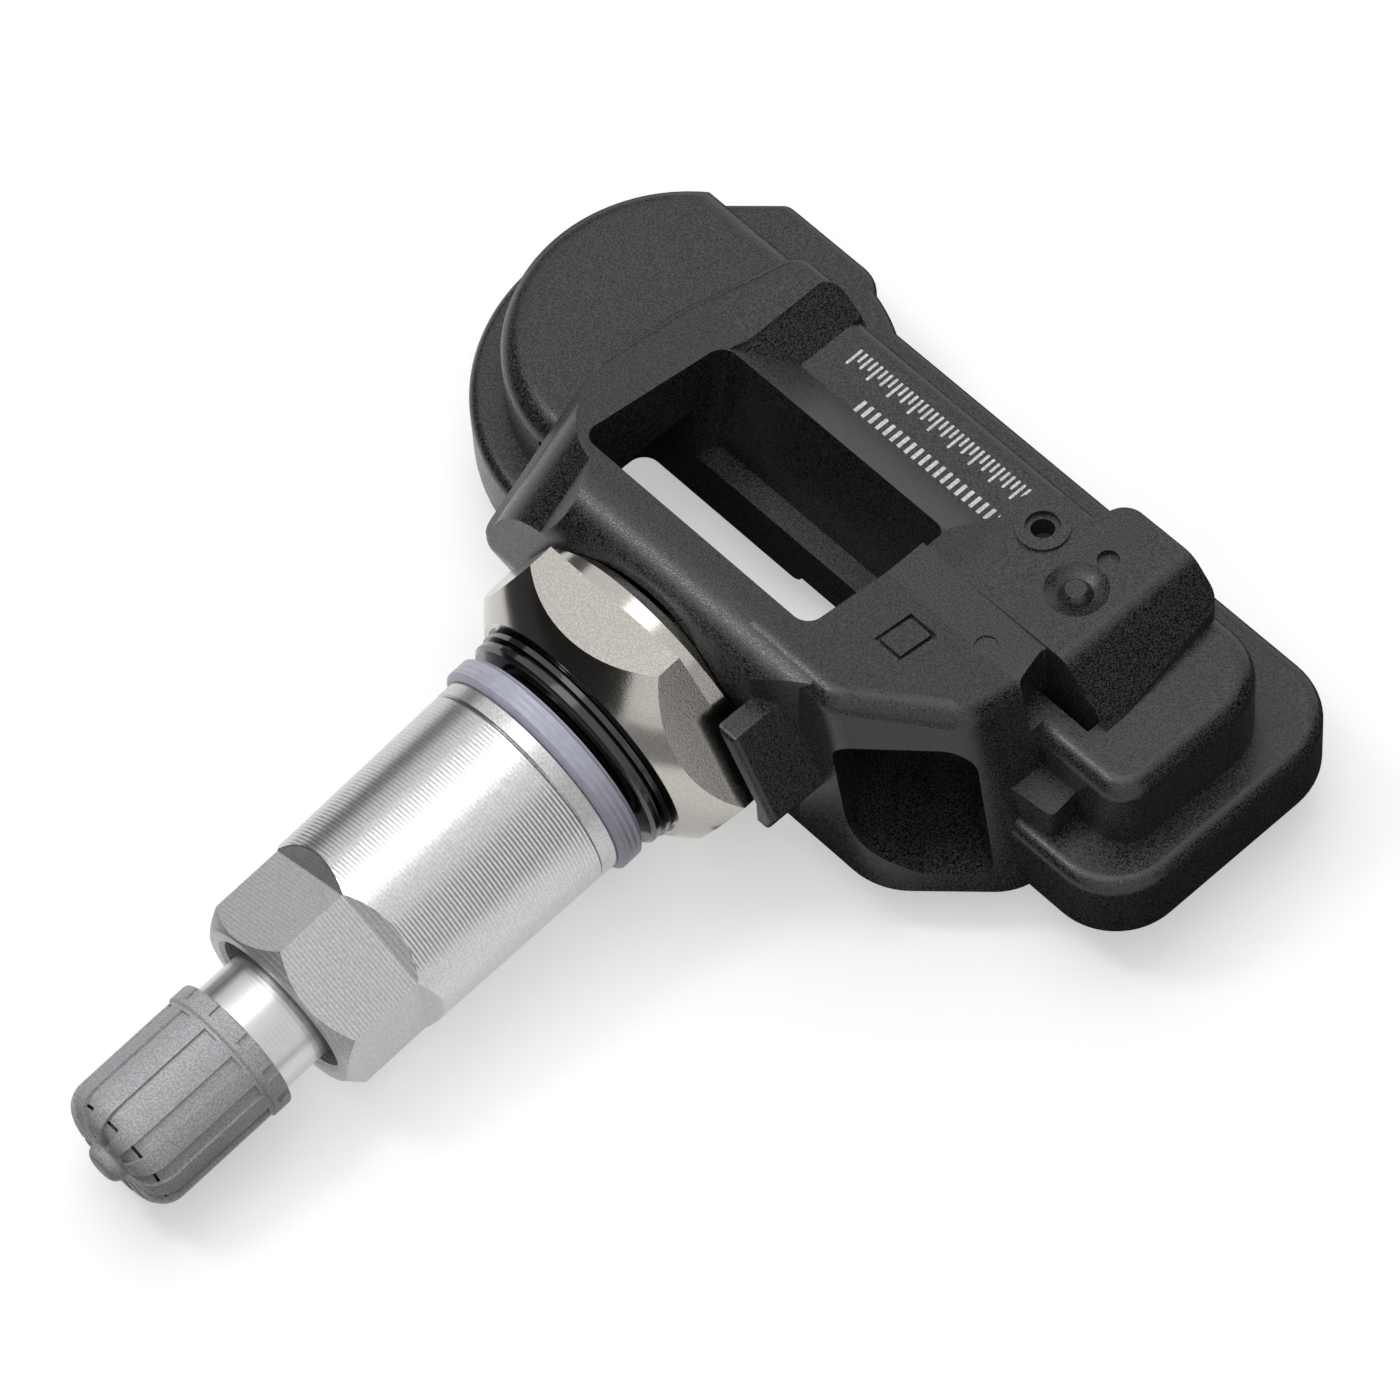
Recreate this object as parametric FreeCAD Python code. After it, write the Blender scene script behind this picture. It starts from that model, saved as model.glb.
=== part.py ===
import FreeCAD, Part
import math
import os

# Clamp-in tyre pressure sensor with a swivelling housing. Millimetres.
# Row frame: origin on the valve axis at the grommet face that seats on the wheel rim.
# +Y runs into the wheel, towards the housing, +X along the housing, +Z up.
# Valve pieces are drawn in their own frame, whose Z axis is the valve axis and whose
# zero is the rim seat. Negative t is outside the rim, positive t inside.
# Housing pieces are drawn in the housing frame: x from the valve axis, y from the
# front wall, z from the top face of the base plate.

V = FreeCAD.Vector

# Fits
RUN = 0.05
SEAT_GAP = 0.3
SLIVER = 0.02

# Valve axis and swivel
VALVE_TILT = 7.0
PIVOT_T = -4.0
BALL_R = 14.6
SWIVEL_LOW = -5.0
SWIVEL_HIGH = 7.0

# Valve stem
STEM_TIP_T = -34.6
STEM_TAIL_T = 7.0
TIP_THREAD_R = 3.85
TIP_THREAD_LENGTH = 6.0
SHANK_R = 3.9
BODY_THREAD_R = 4.6
BODY_THREAD_START_T = -21.0
BODY_THREAD_END_T = -5.0
NECK_R = 4.2
AIR_BORE_R = 1.2
CORE_BORE_R = 2.35
CORE_BORE_LENGTH = 12.6
SCREW_THREAD_R = 2.5
SCREW_DEPTH = 8.0

# Hexagon collar
COLLAR_AF = 19.2
COLLAR_FRONT_T = 1.54
COLLAR_BACK_T = 6.2
COLLAR_RIM_R = 8.4
COLLAR_NECK_R = 9.2
COLLAR_DOME_R = 13.29
COLLAR_DOME_T = 11.84

# Rubber grommet
GROMMET_NECK_R = 5.65
GROMMET_NECK_LENGTH = 3.2
GROMMET_FLANGE_R = 7.8
GROMMET_FLANGE_T = 1.46
GROMMET_GROOVE_R = 7.35

# Rings between nut and rim
RING_R = 7.75
RING_T = 1.79
RING_START_T = -2.47
WASHER_R = 7.25
WASHER_T = 1.18
RING_BORE_R = 5.95

# Collar nut
NUT_LENGTH = 19.65
NUT_FRONT_R = 7.0
NUT_BACK_R = 7.22
NUT_AF = 12.0
NUT_HEX_LENGTH = 6.0
NUT_HEX_PHASE = 7.0
NUT_CHAMFER = 1.1
NUT_MOUTH_R = 4.9
NUT_MOUTH_LENGTH = 3.1
NUT_THREAD_LENGTH = 8.5

# Valve cap
CAP_R = 4.6
CAP_LENGTH = 11.15
CAP_OPEN_T = -26.5
CAP_TOP_T = 1.6
CAP_RIB_COUNT = 12
CAP_RECESS_SHARE = 0.45
CAP_RECESS_DEPTH = 0.22
CAP_RIM_BAND = 1.3
CAP_RIM_STEP = 0.15
CAP_NOTCH_W = 0.8
CAP_NOTCH_DEPTH = 0.2
CAP_SHOULDER_R = 1.7
CAP_BOSS_R = 1.4
CAP_BOSS_T = 0.85
CAP_SEAL_T = 1.1

# Valve core
CORE_TOP_GAP = 0.4
CORE_HEAD_R = 2.3
CORE_HEAD_LENGTH = 4.4
CORE_SLEEVE_R = 1.75
CORE_LENGTH = 9.6
CORE_WAIST_R = 1.35
CORE_SEAL_LENGTH = 1.3
SLEEVE_FLOOR_T = 0.4
SPRING_ROOM_R = 1.2
SPRING_R = 0.8
SPRING_WIRE_R = 0.13
SPRING_TURNS = 4
SPRING_LENGTH = 2.8
PIN_R = 0.45
PIN_RING_R = 1.1
PIN_RING_T = 0.3
PLUNGER_SEAL_T = 0.75

# Valve screw behind the front wall
HEAD_R = 3.4
HEAD_T = 1.35
SCREW_WASHER_R = 4.0
SCREW_WASHER_T = 0.6
SOCKET_AF = 3.0
SOCKET_DEPTH = 0.8

# Housing: where its datum lies in the row frame
HOUSING_Y = 8.36
HOUSING_Z = -0.73

# Housing: base plate
PLATE_T = 5.5
LOBE_X = -14.6
LOBE_Y = 15.45
LOBE_R = 13.45
PLATE_RIGHT_X = 31.3
PLATE_BACK_Y = 27.3
PLATE_FRONT_Y = 6.9
PLATE_EDGE_R = 0.9
TAB_BACK_Y = 29.4

# Housing: compartment block above the base plate
BLOCK_TOP_Z = 5.6
BLOCK_FRONT_Y = 14.05
BLOCK_BACK_Y = 23.75
DOME_R = 11.2
DOME_EDGE_R = 1.8
DOME_FLAT_Y = 24.3
STEP_RIGHT_X = 28.8
STEP_FRONT_Y = 10.2
BLOCK_EDGE_R = 1.2
WALL = 1.15

# Housing: window frame
WINDOW_LEFT_X = -10.6
WINDOW_RIGHT_X = 8.9
WINDOW_FRONT_Y = 3.7
WINDOW_BACK_Y = 15.3
WINDOW_CORNER_R = 1.1
SLOT_LEFT_X = -15.6
SLOT_BACK_Y = 12.45
SLOT_ROOF_Z = 4.0
LEDGE_Z = -1.0
FRAME_FRONT_Z = 10.3
FRAME_BACK_Z = 8.0
LIMB_BACK_Z = 7.7
LIMB_LEFT_X = -13.7
LIMB_FOOT_X = -7.45
LIMB_EDGE_R = 1.1
LIMB_END_X = 12.0
CORNER_R = 6.0
CORNER_SHIFT = 2.2
FRONT_Y = -1.5
FRONT_FOOT_Y = 0.45
FRONT_TOP_R = 3.6
SOCKET_MOUTH_R = 10.0
SOCKET_FLOOR_Y = 1.3
LUG_FRONT_Y = -3.7
LUG_GAP = 0.6
LUG_TOP_Z = 7.4
LUG_HEEL_Z = 2.35
LUG_FOOT_Z = 0.4
LUG_EDGE_R = 0.4

# Housing: pressure port
PORT_X = 13.2
PORT_Y = 18.9
PORT_HOLE_R = 0.75
PORT_RING_R = 2.2
PORT_SEAL_R = 1.5
STEP_SLOT_BACK_Y = 13.1
MARK_X = 13.2
MARK_Y = 7.6
MARK_DEPTH = 0.16
STUD_X = 17.7
STUD_Y = 17.2
RIGHT_TOP_Z = 9.2
TOWER_ROOF_Z = 7.6
FILTER_T = 0.3

# Housing: cell, board and resin
CELL_R = 6.25
CELL_T = 2.5
CELL_X = -19.2
CELL_Y = 19.2
CELL_Z = -4.0
CELL_GAP = 0.35
TAB_T = 0.2
BOARD_T = 1.0
BOARD_Z = CELL_Z + CELL_T + TAB_T
BOARD_LEFT_X = -12.4
CHIP_T = 1.9
ANTENNA_X = -3.0
ANTENNA_LENGTH = 9.0
POTTING_SINK = 0.3


def lift_xy(height):
    return lambda u, v: V(u, v, height)


def lift_yz(x):
    return lambda u, v: V(x, u, v)


def lift_xz(y):
    return lambda u, v: V(u, y, v)


def rounded_outline(corners, lift):
    """Closed wire through the corners (u, v, radius), each corner an arc of its radius."""
    starts = []
    arcs = []
    count = len(corners)
    for i, (u, v, radius) in enumerate(corners):
        corner = V(u, v, 0)
        before = V(corners[i - 1][0], corners[i - 1][1], 0) - corner
        after = V(corners[(i + 1) % count][0], corners[(i + 1) % count][1], 0) - corner
        before.normalize()
        after.normalize()
        if radius == 0:
            starts.append((corner, corner))
            arcs.append(None)
            continue
        half = before.getAngle(after) / 2
        along = radius / math.tan(half)
        middle = before + after
        middle.normalize()
        centre = corner + middle * (radius / math.sin(half))
        starts.append((corner + before * along, corner + after * along))
        arcs.append(centre - middle * radius)
    edges = []
    for i in range(count):
        enter, leave = starts[i]
        if arcs[i] is not None:
            edges.append(Part.Arc(*(lift(p.x, p.y) for p in (enter, arcs[i], leave))).toShape())
        following = starts[(i + 1) % count][0]
        if leave.distanceToPoint(following) > SLIVER:
            edges.append(Part.LineSegment(lift(leave.x, leave.y), lift(following.x, following.y)).toShape())
    return Part.Wire(edges)


def prism_z(corners, low, high):
    face = Part.Face(rounded_outline(corners, lift_xy(low)))
    return face.extrude(V(0, 0, high - low))


def prism_x(corners, low, high):
    """Outline in y and z, extruded along x."""
    face = Part.Face(rounded_outline(corners, lift_yz(low)))
    return face.extrude(V(high - low, 0, 0))


def prism_y(corners, low, high):
    """Outline in x and z, extruded along y."""
    face = Part.Face(rounded_outline(corners, lift_xz(low)))
    return face.extrude(V(0, high - low, 0))


def box(x0, x1, y0, y1, z0, z1):
    return Part.makeBox(x1 - x0, y1 - y0, z1 - z0, V(x0, y0, z0))


def rod(radius, x, y, z0, z1):
    return Part.makeCylinder(radius, z1 - z0, V(x, y, z0))


def sharp(points):
    return [(u, v, 0) for u, v in points]


def turned(profile):
    """Solid of revolution about the valve axis. The profile is (radius, t) pairs."""
    corners = [V(r, 0, t) for r, t in profile]
    face = Part.Face(Part.makePolygon(corners + [corners[0]]))
    return face.revolve(V(0, 0, 0), V(0, 0, 1), 360)


def spun(profile, angle):
    """As turned, with a corner radius in each (radius, t, corner radius), through an angle."""
    face = Part.Face(rounded_outline(profile, lift_xz(0)))
    return face.revolve(V(0, 0, 0), V(0, 0, 1), angle)


def hexagon(across_flats, low, high, phase):
    """Hexagonal prism. The phase is the angle of one corner from the top, towards +X."""
    radius = across_flats / math.sqrt(3)
    points = []
    for k in range(7):
        angle = math.radians(phase + 60 * k)
        points.append(V(radius * math.sin(angle), -radius * math.cos(angle), low))
    return Part.Face(Part.makePolygon(points)).extrude(V(0, 0, high - low))


def place_valve(shape):
    """From the valve frame to the row frame."""
    shape.rotate(V(0, 0, 0), V(1, 0, 0), VALVE_TILT - 90)
    return shape


def place_housing(shape):
    """From the housing frame to the row frame."""
    shape.translate(V(0, HOUSING_Y, HOUSING_Z))
    return shape


def pivot_in_housing():
    """Centre of the swivel ball in the housing frame."""
    tilt = math.radians(VALVE_TILT)
    return V(0, PIVOT_T * math.cos(tilt) - HOUSING_Y, PIVOT_T * math.sin(tilt) - HOUSING_Z)


def neutral_pose(shape):
    """A piece drawn on the ball's own level axis, t from the pivot, in the housing frame."""
    shape.rotate(V(0, 0, 0), V(1, 0, 0), -90)
    shape.translate(pivot_in_housing())
    return shape


def valve_stem():
    core_end = STEM_TIP_T + CORE_BORE_LENGTH
    screw_end = STEM_TAIL_T - SCREW_DEPTH
    bore = SCREW_THREAD_R + RUN
    return turned([
        (CORE_BORE_R, STEM_TIP_T),
        (TIP_THREAD_R - 0.4, STEM_TIP_T),
        (TIP_THREAD_R, STEM_TIP_T + 0.4),
        (TIP_THREAD_R, STEM_TIP_T + TIP_THREAD_LENGTH),
        (TIP_THREAD_R - 0.35, STEM_TIP_T + TIP_THREAD_LENGTH + 0.1),
        (TIP_THREAD_R - 0.35, STEM_TIP_T + TIP_THREAD_LENGTH + 0.8),
        (SHANK_R, STEM_TIP_T + TIP_THREAD_LENGTH + 1.2),
        (SHANK_R, BODY_THREAD_START_T),
        (BODY_THREAD_R, BODY_THREAD_START_T + 0.6),
        (BODY_THREAD_R, BODY_THREAD_END_T),
        (NECK_R, BODY_THREAD_END_T + 0.4),
        (NECK_R, STEM_TAIL_T),
        (bore, STEM_TAIL_T),
        (bore, screw_end),
        (AIR_BORE_R, screw_end),
        (AIR_BORE_R, core_end + 0.9),
        (CORE_SLEEVE_R + 0.2, core_end),
        (CORE_SLEEVE_R + 0.2, STEM_TIP_T + CORE_HEAD_LENGTH + 1.4),
        (CORE_BORE_R, STEM_TIP_T + CORE_HEAD_LENGTH + 0.9),
    ])


def hex_collar():
    """Plated collar: hexagon with a domed shoulder, and a ball-shaped back."""
    blank = hexagon(COLLAR_AF, COLLAR_FRONT_T, COLLAR_BACK_T, 30)
    dome = Part.makeSphere(COLLAR_DOME_R, V(0, 0, COLLAR_DOME_T))
    blank = blank.common(dome)
    ball = Part.makeSphere(BALL_R, V(0, 0, PIVOT_T))
    back_t = collar_back_t()
    neck = Part.makeCylinder(COLLAR_NECK_R, back_t - COLLAR_BACK_T + 1, V(0, 0, COLLAR_BACK_T - 1))
    neck = neck.common(ball)
    whole = blank.fuse(neck)
    recess = turned([
        (0, COLLAR_FRONT_T - 1),
        (COLLAR_RIM_R - 0.35, COLLAR_FRONT_T - 1),
        (COLLAR_RIM_R - 0.35, COLLAR_FRONT_T + 0.3),
        (0, COLLAR_FRONT_T + 0.3),
    ])
    bore = Part.makeCylinder(NECK_R, 3 * BALL_R, V(0, 0, -BALL_R))
    return whole.cut(recess).cut(bore).removeSplitter()


def collar_back_t():
    return PIVOT_T + math.sqrt(BALL_R ** 2 - (COLLAR_NECK_R - 1.0) ** 2)


def grommet():
    groove = GROMMET_FLANGE_T / 2
    seat = COLLAR_FRONT_T + 0.3
    return turned([
        (NECK_R, -GROMMET_NECK_LENGTH),
        (GROMMET_NECK_R - 0.5, -GROMMET_NECK_LENGTH),
        (GROMMET_NECK_R, -GROMMET_NECK_LENGTH + 0.7),
        (GROMMET_NECK_R, -0.25),
        (GROMMET_NECK_R + 0.25, 0),
        (GROMMET_FLANGE_R - 0.25, 0),
        (GROMMET_FLANGE_R, 0.2),
        (GROMMET_FLANGE_R, groove - 0.18),
        (GROMMET_GROOVE_R, groove - 0.08),
        (GROMMET_GROOVE_R, groove + 0.08),
        (GROMMET_FLANGE_R + 0.1, groove + 0.18),
        (GROMMET_FLANGE_R + 0.1, GROMMET_FLANGE_T - 0.2),
        (GROMMET_FLANGE_R - 0.15, GROMMET_FLANGE_T),
        (COLLAR_RIM_R - 0.6, GROMMET_FLANGE_T),
        (COLLAR_RIM_R - 0.6, seat),
        (NECK_R, seat),
    ])


def seat_ring():
    edge = 0.3
    return turned([
        (RING_BORE_R, RING_START_T),
        (WASHER_R + 0.1, RING_START_T),
        (RING_R, RING_START_T + edge),
        (RING_R, RING_START_T + RING_T - edge),
        (RING_R - edge, RING_START_T + RING_T),
        (RING_BORE_R, RING_START_T + RING_T),
    ])


def nut_washer():
    start = RING_START_T - WASHER_T
    edge = 0.12
    return turned([
        (RING_BORE_R, start),
        (WASHER_R - edge, start),
        (WASHER_R, start + edge),
        (WASHER_R, RING_START_T - edge),
        (WASHER_R - edge, RING_START_T),
        (RING_BORE_R, RING_START_T),
    ])


def nut_start_t():
    return RING_START_T - WASHER_T - NUT_LENGTH


def collar_nut():
    """Long nut: wrench hexagon at the outer end, turned sleeve over the grommet's neck."""
    start = nut_start_t()
    end = start + NUT_LENGTH
    thread_r = BODY_THREAD_R + RUN
    mouth_end = start + NUT_MOUTH_LENGTH
    thread_end = mouth_end + NUT_THREAD_LENGTH
    blank = turned([
        (NUT_MOUTH_R + 0.25, start),
        (NUT_AF / 2 - 0.1, start),
        (NUT_FRONT_R, start + NUT_CHAMFER),
        (NUT_FRONT_R, start + NUT_HEX_LENGTH),
        (NUT_BACK_R, end - 0.15),
        (NUT_BACK_R - 0.15, end),
        (RING_BORE_R, end),
        (RING_BORE_R, thread_end + 1.0),
        (thread_r, thread_end),
        (thread_r, mouth_end),
        (NUT_MOUTH_R, mouth_end),
        (NUT_MOUTH_R, start + 0.25),
    ])
    flat = NUT_AF / 2
    reach = NUT_FRONT_R + 1
    run_out = start + NUT_HEX_LENGTH
    side = prism_x(sharp([
        (-flat, start - 1),
        (-flat, run_out),
        (-reach, run_out + 1.9),
        (-reach - 1, run_out + 1.9),
        (-reach - 1, start - 1),
    ]), -reach, reach)
    for k in range(6):
        cutter = side.copy()
        cutter.rotate(V(0, 0, 0), V(0, 0, 1), NUT_HEX_PHASE + 30 + 60 * k)
        blank = blank.cut(cutter)
    return blank


def valve_cap():
    """Moulded cap with flat ribs, a notched rim and a domed boss on its end."""
    top = CAP_OPEN_T - CAP_LENGTH
    inner_end = top + CAP_TOP_T
    thread_r = TIP_THREAD_R + RUN
    waist = CAP_R - CAP_RIM_STEP
    band = CAP_OPEN_T - CAP_RIM_BAND
    blank = spun([
        (0, inner_end, 0),
        (thread_r, inner_end, 0),
        (thread_r, band - 0.1, 0),
        (SHANK_R + SEAT_GAP, band + 0.1, 0),
        (SHANK_R + SEAT_GAP, CAP_OPEN_T, 0),
        (CAP_R, CAP_OPEN_T, 0.2),
        (CAP_R, band, 0.05),
        (waist, band - CAP_RIM_STEP, 0),
        (waist, top + CAP_BOSS_T, CAP_SHOULDER_R),
        (CAP_BOSS_R, top + CAP_BOSS_T, 0.2),
        (CAP_BOSS_R - 0.15, top, 0.7),
        (0, top, 0),
    ], 360)
    floor_r = waist - CAP_RECESS_DEPTH
    floor_t = top + CAP_BOSS_T + CAP_RECESS_DEPTH
    pitch = 360 / CAP_RIB_COUNT
    recess = spun([
        (CAP_BOSS_R + 0.3, floor_t, 0),
        (floor_r, floor_t, CAP_SHOULDER_R),
        (floor_r, band - 0.35, 0),
        (CAP_R + 1, band - 0.35, 0),
        (CAP_R + 1, top - 1, 0),
        (CAP_BOSS_R + 0.3, top - 1, 0),
    ], pitch * CAP_RECESS_SHARE)
    half = CAP_NOTCH_W / 2
    notch = box(-half, half, CAP_R - CAP_NOTCH_DEPTH, CAP_R + 1, band + 0.35, CAP_OPEN_T + 1)
    cutters = []
    for k in range(CAP_RIB_COUNT):
        for cutter in (recess.copy(), notch.copy()):
            cutter.rotate(V(0, 0, 0), V(0, 0, 1), pitch * k)
            cutters.append(cutter)
    return blank.cut(cutters)


def cap_seal():
    start = CAP_OPEN_T - CAP_LENGTH + CAP_TOP_T
    end = start + CAP_SEAL_T
    radius = TIP_THREAD_R - 0.15
    return turned([(0, start), (radius, start), (radius, end), (0, end)])


def core_start_t():
    return STEM_TIP_T + CORE_TOP_GAP


def core_body():
    """Core's screw head and the sleeve that holds the plunger's spring."""
    start = core_start_t()
    head_end = start + CORE_HEAD_LENGTH
    end = start + CORE_LENGTH
    pin_hole = PIN_R + RUN
    return turned([
        (pin_hole, start),
        (CORE_HEAD_R - 0.5, start),
        (CORE_HEAD_R, start + 0.4),
        (CORE_HEAD_R, head_end - 0.4),
        (CORE_WAIST_R + 0.4, head_end),
        (CORE_WAIST_R, head_end),
        (CORE_WAIST_R, head_end + CORE_SEAL_LENGTH),
        (CORE_SLEEVE_R, head_end + CORE_SEAL_LENGTH),
        (CORE_SLEEVE_R, end),
        (pin_hole, end),
        (pin_hole, end - SLEEVE_FLOOR_T),
        (SPRING_ROOM_R, end - SLEEVE_FLOOR_T),
        (SPRING_ROOM_R, head_end + 0.6),
        (pin_hole, head_end + 0.6),
    ])


def core_barrel_seal():
    start = core_start_t() + CORE_HEAD_LENGTH
    end = start + CORE_SEAL_LENGTH
    bulge = CORE_SLEEVE_R + 0.15
    return turned([(CORE_WAIST_R, start), (CORE_SLEEVE_R, start), (bulge, start + 0.3), (bulge, end - 0.3),
                   (CORE_SLEEVE_R, end), (CORE_WAIST_R, end)])


def spring_start_t():
    return core_start_t() + CORE_LENGTH - SLEEVE_FLOOR_T - SPRING_LENGTH


def core_pin():
    """Pin with the ring that the spring pushes on and a foot for the seal."""
    start = core_start_t() - 0.1
    foot = core_start_t() + CORE_LENGTH + SEAT_GAP + PLUNGER_SEAL_T
    ring = spring_start_t()
    return turned([
        (0, start),
        (PIN_R - 0.1, start),
        (PIN_R, start + 0.1),
        (PIN_R, ring - PIN_RING_T),
        (PIN_RING_R, ring - PIN_RING_T),
        (PIN_RING_R, ring),
        (PIN_R, ring),
        (PIN_R, foot),
        (0.9, foot),
        (0.9, foot + 0.3),
        (0, foot + 0.3),
    ])


def core_plunger_seal():
    start = core_start_t() + CORE_LENGTH + SEAT_GAP
    end = start + PLUNGER_SEAL_T
    return turned([(PIN_R, start), (1.5, start), (1.5, end), (PIN_R, end)])


def core_spring():
    """Spring between the pin's ring and the floor of the sleeve."""
    reach = SPRING_WIRE_R + SLIVER
    path = Part.makeHelix((SPRING_LENGTH - 2 * reach) / SPRING_TURNS, SPRING_LENGTH - 2 * reach, SPRING_R)
    section = Part.makePolygon([
        V(SPRING_R - SPRING_WIRE_R, 0, -SPRING_WIRE_R),
        V(SPRING_R + SPRING_WIRE_R, 0, -SPRING_WIRE_R),
        V(SPRING_R + SPRING_WIRE_R, 0, SPRING_WIRE_R),
        V(SPRING_R - SPRING_WIRE_R, 0, SPRING_WIRE_R),
        V(SPRING_R - SPRING_WIRE_R, 0, -SPRING_WIRE_R),
    ])
    spring = Part.Wire(path).makePipeShell([section], True, True)
    spring.translate(V(0, 0, spring_start_t() + reach))
    return spring


def socket_t(radius):
    """Where the sphere of this radius about the swivel centre meets the valve axis."""
    return PIVOT_T + radius


def front_wall_inner_r():
    return BALL_R + RUN + 0.95


def screw_washer():
    """Dished washer that slides on the round back of the front wall."""
    low = front_wall_inner_r() + RUN
    outer = Part.makeSphere(low + SCREW_WASHER_T, V(0, 0, PIVOT_T))
    inner = Part.makeSphere(low, V(0, 0, PIVOT_T))
    top = socket_t(low + SCREW_WASHER_T)
    blank = Part.makeCylinder(SCREW_WASHER_R, 3, V(0, 0, top - 3)).common(outer).cut(inner)
    hole = Part.makeCylinder(SCREW_THREAD_R + RUN, 6, V(0, 0, top - 4))
    return blank.cut(hole)


def valve_screw():
    """Hollow screw: its bore lets the tyre's air through to the valve."""
    head_t = socket_t(front_wall_inner_r() + RUN + SCREW_WASHER_T)
    end_t = STEM_TAIL_T - SCREW_DEPTH + 0.6
    body = turned([
        (0.9, end_t),
        (SCREW_THREAD_R - 0.3, end_t),
        (SCREW_THREAD_R, end_t + 0.3),
        (SCREW_THREAD_R, head_t),
        (HEAD_R, head_t),
        (HEAD_R, head_t + HEAD_T - 0.35),
        (HEAD_R - 0.35, head_t + HEAD_T),
        (0.9, head_t + HEAD_T),
    ])
    socket = hexagon(SOCKET_AF, head_t + HEAD_T - SOCKET_DEPTH, head_t + HEAD_T + 1, 30)
    return body.cut(socket)


def base_plate():
    """Plate under the whole housing: round lobe on the left, rounded end on the right."""
    low = -PLATE_T
    lobe = rod(LOBE_R, LOBE_X, LOBE_Y, low, 0)
    tab = prism_z([
        (LOBE_X - 9.0, PLATE_BACK_Y - 1.4, 0),
        (LOBE_X - 5.45, TAB_BACK_Y, 1.0),
        (LOBE_X + 2.4, TAB_BACK_Y, 2.4),
        (LOBE_X + 4.7, PLATE_BACK_Y - 0.3, 0),
        (LOBE_X, LOBE_Y, 0),
    ], low, 0)
    main = prism_z([
        (LOBE_X, SLOT_BACK_Y, 0),
        (PLATE_RIGHT_X - 14, SLOT_BACK_Y, 0),
        (PLATE_RIGHT_X - 14, PLATE_FRONT_Y, 0),
        (PLATE_RIGHT_X, PLATE_FRONT_Y, 4.6),
        (PLATE_RIGHT_X, PLATE_BACK_Y, 5.0),
        (LOBE_X, PLATE_BACK_Y, 0),
    ], low, 0)
    rounded = [rounded_rims(piece, PLATE_EDGE_R, [low, 0]) for piece in (lobe, tab, main)]
    return rounded[0].fuse(rounded[1:]).removeSplitter()


def rounded_rims(shape, radius, heights):
    """Rounds the level edges that lie at the given heights."""
    rims = []
    for edge in shape.Edges:
        box_z = (edge.BoundBox.ZMin, edge.BoundBox.ZMax)
        if any(max(abs(z - height) for z in box_z) < SLIVER for height in heights):
            rims.append(edge)
    return shape.makeFillet(radius, rims)


def compartment_block():
    """Raised roof over the cell, the circuit board and the right-hand step."""
    dome = rod(DOME_R, LOBE_X, LOBE_Y, 0, BLOCK_TOP_Z)
    dome = dome.cut(box(LOBE_X - 20, LOBE_X + 20, DOME_FLAT_Y, DOME_FLAT_Y + 9, -1, BLOCK_TOP_Z + 1))
    run = prism_z([
        (LOBE_X, BLOCK_FRONT_Y, 0),
        (STEP_RIGHT_X - 12, BLOCK_FRONT_Y, 0),
        (STEP_RIGHT_X - 12, STEP_FRONT_Y, 0),
        (STEP_RIGHT_X - 0.1, STEP_FRONT_Y, 2.2),
        (STEP_RIGHT_X, BLOCK_BACK_Y, 4.5),
        (LOBE_X, BLOCK_BACK_Y, 0),
    ], 0, BLOCK_TOP_Z)
    dome = rounded_rims(dome, DOME_EDGE_R, [BLOCK_TOP_Z])
    run = rounded_rims(run, BLOCK_EDGE_R, [BLOCK_TOP_Z])
    return dome.fuse(run).removeSplitter()


def frame_top(y):
    """Height of the window frame's top face, which falls towards the back."""
    share = (y - WINDOW_FRONT_Y) / (WINDOW_BACK_Y - WINDOW_FRONT_Y)
    return FRAME_FRONT_Z + (FRAME_BACK_Z - FRAME_FRONT_Z) * share


def front_limb():
    """Front wall and front bar of the window frame."""
    bar = prism_x([
        (FRONT_FOOT_Y, -PLATE_T, 0.8),
        (FRONT_Y, 0, 3.0),
        (FRONT_Y, frame_top(FRONT_Y), FRONT_TOP_R),
        (WINDOW_FRONT_Y, frame_top(WINDOW_FRONT_Y), 0),
        (WINDOW_BACK_Y, frame_top(WINDOW_BACK_Y), 0),
        (WINDOW_BACK_Y + 3.3, BLOCK_TOP_Z, 0),
        (WINDOW_BACK_Y + 3.3, BLOCK_TOP_Z - 1, 0),
        (SLOT_BACK_Y, LEDGE_Z, 0),
        (SLOT_BACK_Y, -PLATE_T, 0),
    ], WINDOW_LEFT_X - 1, LIMB_END_X)
    plan = prism_z([
        (WINDOW_LEFT_X - 1, FRONT_Y - 0.01, 0),
        (WINDOW_RIGHT_X - 1.6, FRONT_Y - 0.01, 5.0),
        (LIMB_END_X, FRONT_FOOT_Y + 0.6, 0),
        (LIMB_END_X, BLOCK_BACK_Y, 0),
        (WINDOW_LEFT_X - 1, BLOCK_BACK_Y, 0),
    ], -PLATE_T - 1, FRAME_FRONT_Z + 1)
    return bar.common(plan)


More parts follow.
